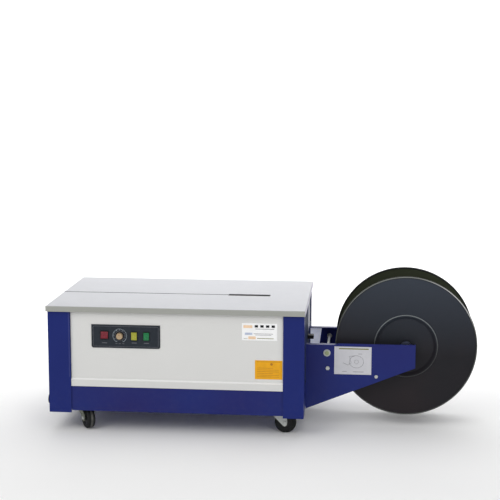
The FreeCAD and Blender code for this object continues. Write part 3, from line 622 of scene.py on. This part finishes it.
def caption_bars(face, switch_z, key_z):
    """Short printed bars under the controls. A bar holds its middle, half width, foot and height."""
    rows = [(middle("power_switch").x, 0.009, switch_z - 0.0288, 0.0020),
            (middle("feed_button").x, 0.009, key_z - 0.0253, 0.0020),
            (middle("reset_button").x, 0.009, key_z - 0.0253, 0.0020)]
    rows += [(middle("timer_knob").x + offset, 0.0035, key_z - 0.0283, 0.0014)
             for offset in (-0.012, 0.0, 0.012)]
    shape = bmesh.new()
    for x, half, foot, tall in rows:
        block(shape, (x - half, face - 2 * PRINT, foot), (x + half, face + PRINT, foot + tall), 0.00005)
    from_bmesh("caption_bars", shape, "ink_grey", "chassis", smooth=False)


def timer_dial(face):
    """Printed scale with ticks round the timer's knob."""
    place, _ = joint("timer_turn")
    x, z = place.x, place.z
    scale, collar, tick_end = 0.0246, 0.0168, 0.0240
    ring = face_arc(x, face - PRINT, z, scale, scale, range(-60, 241, 5))
    tube("dial_ring", ring, 0.00042, "ink", "chassis")
    ring = face_arc(x, face - PRINT, z, collar, collar, range(0, 360, 6))
    tube("dial_collar", ring, 0.0005, "ink_grey", "chassis", closed=True)
    shape = bmesh.new()
    for i in range(21):
        tick_start, half = (0.0215, 0.00035) if i % 2 else (0.0196, 0.00055)
        turned_block(shape, (tick_start, -2 * PRINT, -half), (tick_end, PRINT, half),
                     60 - 15 * i, (x, face, z))
    from_bmesh("dial_ticks", shape, "ink", "chassis", smooth=False)
    knob(x, z, -face)


def knob(x, z, sheet):
    """Black skirt, fluted cream cap and a pointer. Profiles count their distances along -Y."""
    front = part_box("timer_knob")[0].y
    top = -front - 0.0008
    skirt = [(0.0001, sheet - 0.004), (0.003, sheet - 0.004), (0.003, sheet + 0.0005),
             (0.0152, sheet + 0.0005)]
    skirt += arc(0.0147, sheet + 0.0021, 0.0007, 0, 90, 4)
    skirt += [(0.0125, sheet + 0.0035), (0.0001, sheet + 0.0035)]
    turned("knob_skirt", skirt, (x, 0, z), (0, -1, 0), 72, "black", "timer", replaces=["timer_knob"])
    cap = [(0.0001, sheet + 0.0035), (0.0119, sheet + 0.0035), (0.0108, top - 0.0022)]
    cap += arc(0.0090, top - 0.0020, 0.0018, 0, 90, 5) + [(0.0070, top - 0.0002), (0.0001, top - 0.0006)]
    shape = bmesh.new()
    lathe(shape, cap, (x, 0, z), (0, -1, 0), 120)
    flute(shape, x, z)
    from_bmesh("knob_cap", shape, "cream", "timer")
    shape = bmesh.new()
    block(shape, (x - 0.0007, front, z + 0.003), (x + 0.0007, front + 0.002, z + 0.0088), 0.0002)
    from_bmesh("knob_pointer", shape, "ink_brown", "timer")


def flute(shape, x, z):
    """Presses 24 narrow flutes into the side of the cap."""
    for vertex in shape.verts:
        across, up = vertex.co.x - x, vertex.co.z - z
        if math.hypot(across, up) > 0.0098:
            angle = math.atan2(up, across)
            dip = 1 - 0.035 * (0.5 + 0.5 * math.cos(24 * angle)) ** 3
            vertex.co.x, vertex.co.z = x + across * dip, z + up * dip


# ---------------------------------------------------------------- labels, with bars and shapes only
def bars(name, rows, y, key):
    """Printed bars on a face that looks along -Y. A row holds (x0, x1, z0, z1)."""
    shape = bmesh.new()
    for x0, x1, z0, z1 in rows:
        block(shape, (x0, y - 0.00012, z0), (x1, y + 0.0002, z1))
    from_bmesh(name, shape, key, "chassis", smooth=False)


def sticker(name, x0, x1, z0, z1, face, key, thick=0.0004):
    """A thin label on a face that looks along -Y. Returns the Y of its own face."""
    shape = bmesh.new()
    block(shape, (x0, face - thick, z0), (x1, face, z1), 0.00012)
    from_bmesh(name, shape, key, "chassis", smooth=False)
    return face - thick


def cover_labels():
    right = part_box("front_right_post")[0].x
    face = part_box("front_cover")[0].y + 0.005
    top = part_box("table_top")[1].z
    rating_label(right - 0.1425, right - 0.0210, top - 0.0495, face)
    caution_label(right - 0.0975, right - 0.0025, top - 0.179, face)


def rating_label(x0, x1, z1, face):
    z0 = z1 - 0.060
    front = sticker("rating_label", x0, x1, z0, z1, face, "label")
    bars("rating_block", [(x0 + 0.005, x0 + 0.036, z1 - 0.017, z1 - 0.007),
                          (x0 + 0.022, x0 + 0.048, z0 + 0.004, z0 + 0.014)], front, "ink_peach")
    bars("rating_heading", [(x0 + 0.044 + 0.0194 * i, x0 + 0.0555 + 0.0194 * i, z1 - 0.0145, z1 - 0.006)
                            for i in range(4)], front, "black")
    bars("rating_rules", [(x0 + 0.046, x1 - 0.010, z1 - 0.0205, z1 - 0.0188),
                          (x0 + 0.040, x1 - 0.014, z1 - 0.0372, z1 - 0.0358),
                          (x0 + 0.046, x1 - 0.020, z1 - 0.0415, z1 - 0.0402)], front, "ink_grey")
    bars("rating_field", [(x0 + 0.010, x0 + 0.036, z1 - 0.041, z1 - 0.033)], front, "ink_sky")
    bars("rating_foot", [(x0 + 0.006, x0 + 0.020, z0 + 0.005, z0 + 0.0062),
                         (x0 + 0.052, x1 - 0.012, z0 + 0.006, z0 + 0.0082)], front, "ink_olive")


def caution_label(x0, x1, z1, face):
    z0 = z1 - 0.067
    front = sticker("caution_label", x0, x1, z0, z1, face, "label_orange")
    rows = []
    for i in range(6):
        short = 0.02 if i % 3 == 2 else 0.0
        foot = z0 + 0.008 + 0.0062 * i
        rows.append((x0 + 0.008, x1 - 0.012 - short, foot, foot + 0.0012))
    bars("caution_lines", rows, front, "ink_brown")
    bars("caution_heading", [(x0 + 0.006, x1 - 0.006, z1 - 0.0058, z1 - 0.0045)], front, "ink_brown")
    turned("caution_dot", [(0.0001, 0), (0.0045, 0), (0.0045, 0.00014), (0.0001, 0.00014)],
           ((x0 + x1) / 2 + 0.010, front, z1 - 0.0135), (0, -1, 0), 24, "ink_brown", "chassis", smooth=False)


def threading_label():
    """Pale label on the front arm with a generic sketch: a reel and the strap's run."""
    low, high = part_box("front_arm")
    x0, x1 = low.x + 0.100, low.x + 0.2305
    z1 = high.z - 0.0105
    z0 = z1 - 0.100
    front = sticker("threading_label", x0, x1, z0, z1, low.y, "label_arm", 0.0006)
    bars("threading_heading", [(x0 + 0.016, x1 - 0.010, z1 - 0.0095, z1 - 0.0055)], front, "ink_olive")
    cx, cz = x0 + 0.078, z0 + 0.046
    circle = face_arc(cx, front, cz, 0.025, 0.022, [7.5 * i for i in range(48)])
    tube("threading_reel", circle, 0.0005, "ink_grey", "chassis", closed=True)
    hub = face_arc(cx, front, cz, 0.007, 0.007, range(0, 360, 15))
    tube("threading_hub", hub, 0.0004, "ink_grey", "chassis", closed=True)
    run = [(cx - 0.004, front, cz + 0.022), (x0 + 0.052, front, cz + 0.019), (x0 + 0.060, front, cz - 0.004),
           (x0 + 0.048, front, cz - 0.012), (x0 + 0.030, front, cz - 0.004)]
    tube("threading_run", run, 0.0006, "ink_grey", "chassis")
    bars("threading_notes", [(x0 + 0.028, x0 + 0.044, z0 + 0.010, z0 + 0.0115),
                             (x0 + 0.066, x0 + 0.104, z0 + 0.009, z0 + 0.0105),
                             (cx + 0.006, cx + 0.020, cz + 0.028, cz + 0.0292)], front, "ink_grey")


# ---------------------------------------------------------------- casters
TYRE_HALF = 0.013         # half the tyre's width
TYRE_INNER = 0.0240
TYRE_ROUND = 0.0055       # rounding of the tyre's shoulders


def casters():
    for corner in CORNERS:
        wheel(corner)
        axle_nuts(corner)
        swivel_hardware(corner)


def wheel(corner):
    """Tyre with rounded shoulders, its paler middle strip, worn and painted with a highlight, and a dished
    hub.
    """
    place, axle = joint("roll_" + corner)
    body = "wheel_" + corner
    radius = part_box("caster_wheel_" + corner)[1].z - place.z
    shoulder, edge = radius - TYRE_ROUND, TYRE_HALF - TYRE_ROUND
    profile = [(TYRE_INNER, -TYRE_HALF)] + arc(shoulder, -edge, TYRE_ROUND, -90, -10, 7)
    profile += [(radius - 0.0004, -0.004), (radius - 0.0004, 0.004)]
    profile += arc(shoulder, edge, TYRE_ROUND, 10, 90, 7) + [(TYRE_INNER, TYRE_HALF)]
    turned("tyre_" + corner, profile, place, axle, 96, "tyre", body, replaces=["caster_wheel_" + corner])
    # Paler middle strip: wear, and a painted highlight.
    strip = [(radius - 0.0010, -0.0042), (radius, -0.0036), (radius, 0.0036), (radius - 0.0010, 0.0042)]
    turned("tread_" + corner, strip, place, axle, 96, "tread", body)
    side = [(0.0041, TYRE_HALF + 0.0015), (0.0078, TYRE_HALF + 0.0015), (0.0085, TYRE_HALF - 0.003),
            (0.0200, TYRE_HALF - 0.0035), (0.0215, TYRE_HALF - 0.0010), (TYRE_INNER, TYRE_HALF - 0.0008)]
    hub = [(r, -w) for r, w in side] + [(r, w) for r, w in reversed(side)]
    turned("hub_" + corner, hub, place, axle, 72, "hub", body)


def nut_profile(radius, tall, chamfer=0.001):
    """Six-sided head or nut: straight sides and a chamfered top."""
    return [(0.0001, 0), (radius, 0), (radius, tall - chamfer), (radius - chamfer, tall), (0.0001, tall)]


def axle_nuts(corner):
    place, axle = joint("roll_" + corner)
    nuts = bmesh.new()
    for way in (-1, 1):
        lathe(nuts, nut_profile(0.0066, 0.0038), place + axle * way * 0.0186, axle * way, 6)
    from_bmesh("axle_nuts_" + corner, nuts, "zinc", "caster_" + corner, smooth=False)


def swivel_hardware(corner):
    """Four low bolt heads under the plate, clear of the turning fork, and a ring round the race."""
    swivel, _ = joint("swivel_" + corner)
    plate_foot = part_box("caster_plates")[0].z
    bolts = bmesh.new()
    for dx in (-0.029, 0.029):
        for dy in (-0.026, 0.026):
            place = (swivel.x + dx, swivel.y + dy, plate_foot)
            lathe(bolts, nut_profile(0.0062, 0.0042), place, (0, 0, -1), 6)
    from_bmesh("caster_bolts_" + corner, bolts, "zinc", "chassis", smooth=False)
    turned("race_ring_" + corner, [(0.0240, 0), (0.0255, 0.001), (0.0255, 0.0025), (0.0240, 0.0035)],
           (swivel.x, swivel.y, plate_foot - 0.0045), (0, 0, 1), 64, "zinc", "caster_" + corner)


# ---------------------------------------------------------------- reel and brake
SHEET = 0.0025            # thickness of a flange
RIM_RADIUS = 0.2465       # where the rolled rim has its middle
RIM_ROLL = 0.0035
BORE = 0.0122
DRUM_INNER, DRUM_OUTER = 0.089, 0.092


def flange_profile(half_width):
    """Section of a pressed flange: sunken middle, raised bead, wide ring and rolled rim."""
    deep, flat = half_width - 0.010, half_width - SHEET
    outer = [(BORE, deep), (0.0955, deep)] + arc(0.0965, deep + 0.002, 0.002, -80, -45, 4)
    outer += [(0.1045, half_width - 0.0018)] + arc(0.1080, half_width - 0.0032, 0.0036, 130, 50, 8)
    outer += [(0.1135, flat + 0.0002), (0.1160, flat), (0.2300, flat), (0.2435, flat)]
    roll = arc(RIM_RADIUS, half_width - RIM_ROLL, RIM_ROLL, 130, -150, 18)
    inner = [(0.2415, flat - SHEET), (0.1160, flat - SHEET), (0.1110, half_width - 0.0035),
             (0.1080, half_width - 0.0026), (0.1050, half_width - 0.0045), (0.0960, deep - SHEET),
             (BORE, deep - SHEET)]
    return outer, roll, inner


def reel():
    place, _ = joint("reel_spin")
    half_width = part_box("reel_rear_flange")[1].y
    outer, roll, inner = flange_profile(half_width)
    disc = outer + roll[:1] + roll[-1:] + inner
    # The lip is a thin band of the rim in a paler paint: a painted highlight line.
    lip = arc(RIM_RADIUS, half_width - RIM_ROLL, 0.00365, 100, 55, 5)
    lip += arc(RIM_RADIUS, half_width - RIM_ROLL, 0.0030, 55, 100, 5)
    # The bead carries a painted highlight.
    bead = arc(0.1105, half_width - 0.0016, 0.0020, 200, -20, 10)
    for name, way in (("front", -1), ("rear", 1)):
        axis = (0, way, 0)
        start = "flange_" + name
        turned(start + "_disc", disc, place, axis, 256, "reel", "reel", replaces=["reel_%s_flange" % name])
        turned(start + "_rim", roll, place, axis, 256, "rim", "reel")
        turned(start + "_lip", lip, place, axis, 256, "lip", "reel")
        turned(start + "_bead", bead, place, axis, 192, "bead", "reel")
    core_drum(place, half_width - 0.0126)


def core_drum(place, half):
    """Thin drum, a hub tube and six spokes between them."""
    core = bmesh.new()
    lathe(core, [(DRUM_INNER, -half), (DRUM_OUTER, -half), (DRUM_OUTER, -0.060), (0.0905, -0.058),
                 (0.0905, 0.058), (DRUM_OUTER, 0.060), (DRUM_OUTER, half), (DRUM_INNER, half)],
          place, (0, 1, 0), 160)
    lathe(core, [(BORE, -half), (0.020, -half), (0.020, half), (BORE, half)], place, (0, 1, 0), 64)
    for i in range(6):
        turned_block(core, (0.019, -0.058, -0.002), (0.0895, 0.058, 0.002),
                     60 * i, (place.x, 0, place.z), 0.0006)
    from_bmesh("core_drum", core, "core", "reel", replaces=["reel_core"])


def brake_spring():
    """Wire coil between two straight ends."""
    low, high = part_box("brake_spring")
    x, y = (low.x + high.x) / 2, (low.y + high.y) / 2
    wire = 0.00065
    radius = (high.x - low.x) / 2 - wire
    foot, top = low.z + 0.008, high.z - 0.008
    turns, per_turn = 26, 14
    steps = turns * per_turn
    points = [(x, y, low.z - 0.001 + wire), (x + radius * 0.5, y, low.z + 0.004)]
    for i in range(steps + 1):
        angle = 2 * math.pi * i / per_turn
        points.append((x + radius * math.cos(angle), y + radius * math.sin(angle),
                       foot + (top - foot) * i / steps))
    points += [(x + radius * 0.5, y, high.z - 0.004), (x, y, high.z - wire)]
    tube("spring_coil", points, wire, "zinc", "chassis", resolution=3, replaces=["brake_spring"])


# ---------------------------------------------------------------- small hardware
SCREW_INSET = 0.02        # from a cover's edge to its screws


def screw(shape, place, direction, radius=0.0042):
    """Pan head screw with a round recess."""
    profile = [(0.0001, 0), (radius, 0)] + arc(radius - 0.0008, 0.0010, 0.0008, 0, 60, 3)
    profile += [(radius * 0.55, 0.0024), (radius * 0.30, 0.0026), (radius * 0.22, 0.0012), (0.0001, 0.0012)]
    lathe(shape, profile, place, direction, 20)


def cover_screws():
    low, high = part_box("rear_cover")
    shape = bmesh.new()
    for x in (low.x + SCREW_INSET, 0.5 * (low.x + high.x), high.x - SCREW_INSET):
        for z in (high.z - 0.030, 0.212):
            screw(shape, (x, high.y - 0.005, z), (0, 1, 0), 0.0045)
    low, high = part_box("left_cover")
    for y in (low.y + SCREW_INSET, high.y - SCREW_INSET):
        for z in (high.z - 0.030, low.z + SCREW_INSET):
            screw(shape, (low.x, y, z), (-1, 0, 0))
    from_bmesh("cover_screws", shape, "zinc", "chassis")
    low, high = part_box("right_cover")
    shape = bmesh.new()
    for y in (low.y + SCREW_INSET, high.y - SCREW_INSET):
        for z in (low.z + SCREW_INSET, high.z - SCREW_INSET):
            screw(shape, (high.x, y, z), (1, 0, 0))
    from_bmesh("end_screws", shape, "blue_end", "chassis")


def stand_bolts():
    """Two rows of three flanged hex bolts at the root of the arms, facing the reel."""
    profile = [(0.0001, 0), (0.0085, 0), (0.0085, 0.0012), (0.0062, 0.0012), (0.0062, 0.0060),
               (0.0052, 0.0070), (0.0001, 0.0070)]
    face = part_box("front_arm")[0].x + 0.003
    shape = bmesh.new()
    for z in (0.100, 0.190, 0.270):
        for y in (-0.122, 0.122):
            lathe(shape, profile, (face, y, z), (1, 0, 0), 6)
    from_bmesh("stand_bolts", shape, "zinc", "chassis")


def fold_line():
    """Painted highlight: a pale strip where the front left post's sheet is folded back beside the cover."""
    low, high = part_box("front_left_post")
    shape = bmesh.new()
    block(shape, (high.x - 0.0055, low.y - 0.0003, 0.196), (high.x - 0.0035, low.y + 0.0002, high.z - 0.004))
    from_bmesh("post_fold", shape, "blue_fold", "chassis", smooth=False)


def bolt_heads():
    """Yellow-plated cap on the head of the guide shaft's bolt."""
    profile = [(0.0001, -0.001), (0.0078, -0.001), (0.0078, 0.0002), (0.0060, 0.0007), (0.0001, 0.0007)]
    turned("bolt_heads", profile, (0.223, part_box("arm_bolts")[0].y, 0.271), (0, -1, 0), 28,
           "zinc_yellow", "chassis")


def gland():
    """Rounded cable gland with a bore."""
    low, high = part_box("cable_gland")
    centre = (high.x, (low.y + high.y) / 2, (low.z + high.z) / 2)
    depth = high.x - low.x
    radius = (high.z - low.z) / 2
    profile = [(0.0001, 0), (radius, 0), (radius, depth * 0.45)]
    profile += arc(radius - 0.0022, depth * 0.45, 0.0022, 10, 80, 4)
    profile += [(radius * 0.62, depth * 0.90), (radius * 0.50, depth), (radius * 0.34, depth),
                (radius * 0.30, depth * 0.4), (0.0001, depth * 0.4)]
    turned("gland_nut", profile, centre, (-1, 0, 0), 48, "rubber", "chassis", replaces=["cable_gland"])


# ---------------------------------------------------------------- stage, light, camera
MACHINE_MIDDLE = (0.0, 0.0, 0.25)
# name, place, aimed at, size, power, tint
LAMPS = (("key", (-2.6, -3.6, 3.6), MACHINE_MIDDLE, 2.6, 62, (1.0, 0.99, 0.97)),
         ("fill", (1.9, -3.4, 1.9), (0.2, 0.0, 0.25), 1.6, 24, (0.97, 0.98, 1.0)),
         ("top", (0.0, 0.6, 3.6), MACHINE_MIDDLE, 3.2, 27, (1.0, 1.0, 1.0)),
         ("backdrop", (0.0, 3.2, 4.4), (0.0, 7.2, 0.8), 6.0, 330, (1.0, 1.0, 1.0)))
SWEEP_START, SWEEP_RADIUS, SWEEP_TOP = 5.0, 2.5, 9.0
SWEEP_HALF_WIDTH = 12.0
WORLD_STRENGTH = 0.55
CAMERA_PLACE = (0.3591, -4.4111, 1.2966)
CAMERA_YAW = -0.0957      # left of +Y
CAMERA_PITCH = 0.1532     # below level
CAMERA_ROLL = 0.0017
CAMERA_LENS = 89.09


def sweep_profile():
    """Floor that bends up into a back wall, as (y, z)."""
    points = [(-7.0, 0.0), (SWEEP_START, 0.0)]
    for step in range(6, 91, 6):
        angle = math.radians(step)
        points.append((SWEEP_START + SWEEP_RADIUS * math.sin(angle), SWEEP_RADIUS * (1 - math.cos(angle))))
    return points + [(SWEEP_START + SWEEP_RADIUS, SWEEP_TOP)]


def sweep():
    material, tree, shader = new_material("studio_floor")
    grain = noise(tree, position(tree), 3.0, 3.0)
    link(tree, mix(tree, grain, (0.93, 0.93, 0.93), (0.95, 0.95, 0.95)), shader.inputs["Base Color"])
    shader.inputs["Roughness"].default_value = 0.8
    shape = bmesh.new()
    left, right = [[shape.verts.new((x, y, z)) for y, z in sweep_profile()]
                   for x in (-SWEEP_HALF_WIDTH, SWEEP_HALF_WIDTH)]
    for i in range(len(left) - 1):
        shape.faces.new((left[i], right[i], right[i + 1], left[i + 1]))
    mesh = bpy.data.meshes.new("studio_floor")
    shape.to_mesh(mesh)
    shape.free()
    for polygon in mesh.polygons:
        polygon.use_smooth = True
    mesh.materials.append(material)
    floor = bpy.data.objects.new("studio_floor", mesh)
    bpy.context.scene.collection.objects.link(floor)


def studio():
    sweep()
    world = bpy.data.worlds.new("studio")
    world.use_nodes = True
    background = world.node_tree.nodes["Background"]
    background.inputs["Color"].default_value = (1.0, 1.0, 1.0, 1.0)
    background.inputs["Strength"].default_value = WORLD_STRENGTH
    bpy.context.scene.world = world
    for name, place, aim_at, size, power, tint in LAMPS:
        lamp = bpy.data.lights.new(name, "AREA")
        lamp.size = size
        lamp.energy = power
        lamp.color = tint
        holder = bpy.data.objects.new(name, lamp)
        holder.location = place
        aim = Vector(aim_at) - Vector(place)
        holder.rotation_euler = aim.to_track_quat("-Z", "Y").to_euler()
        bpy.context.scene.collection.objects.link(holder)
    bpy.context.scene.view_settings.view_transform = "Standard"


def camera():
    lens = bpy.data.cameras.new("camera")
    lens.lens = CAMERA_LENS
    lens.sensor_width = 36.0
    holder = bpy.data.objects.new("camera", lens)
    level = math.cos(CAMERA_PITCH)
    ahead = Vector((math.sin(CAMERA_YAW) * level, math.cos(CAMERA_YAW) * level, -math.sin(CAMERA_PITCH)))
    right = Vector((math.cos(CAMERA_YAW), -math.sin(CAMERA_YAW), 0.0))
    up = right.cross(ahead)
    turn = Matrix((right, up, -ahead)).transposed() @ Matrix.Rotation(CAMERA_ROLL, 3, "Z")
    holder.matrix_world = Matrix.Translation(CAMERA_PLACE) @ turn.to_4x4()
    bpy.context.scene.collection.objects.link(holder)
    bpy.context.scene.camera = holder


camera()
studio()
dress_cad()
controls()
cover_labels()
threading_label()
casters()
reel()
brake_spring()
cover_screws()
stand_bolts()
fold_line()
bolt_heads()
gland()
bpy.context.view_layer.update()
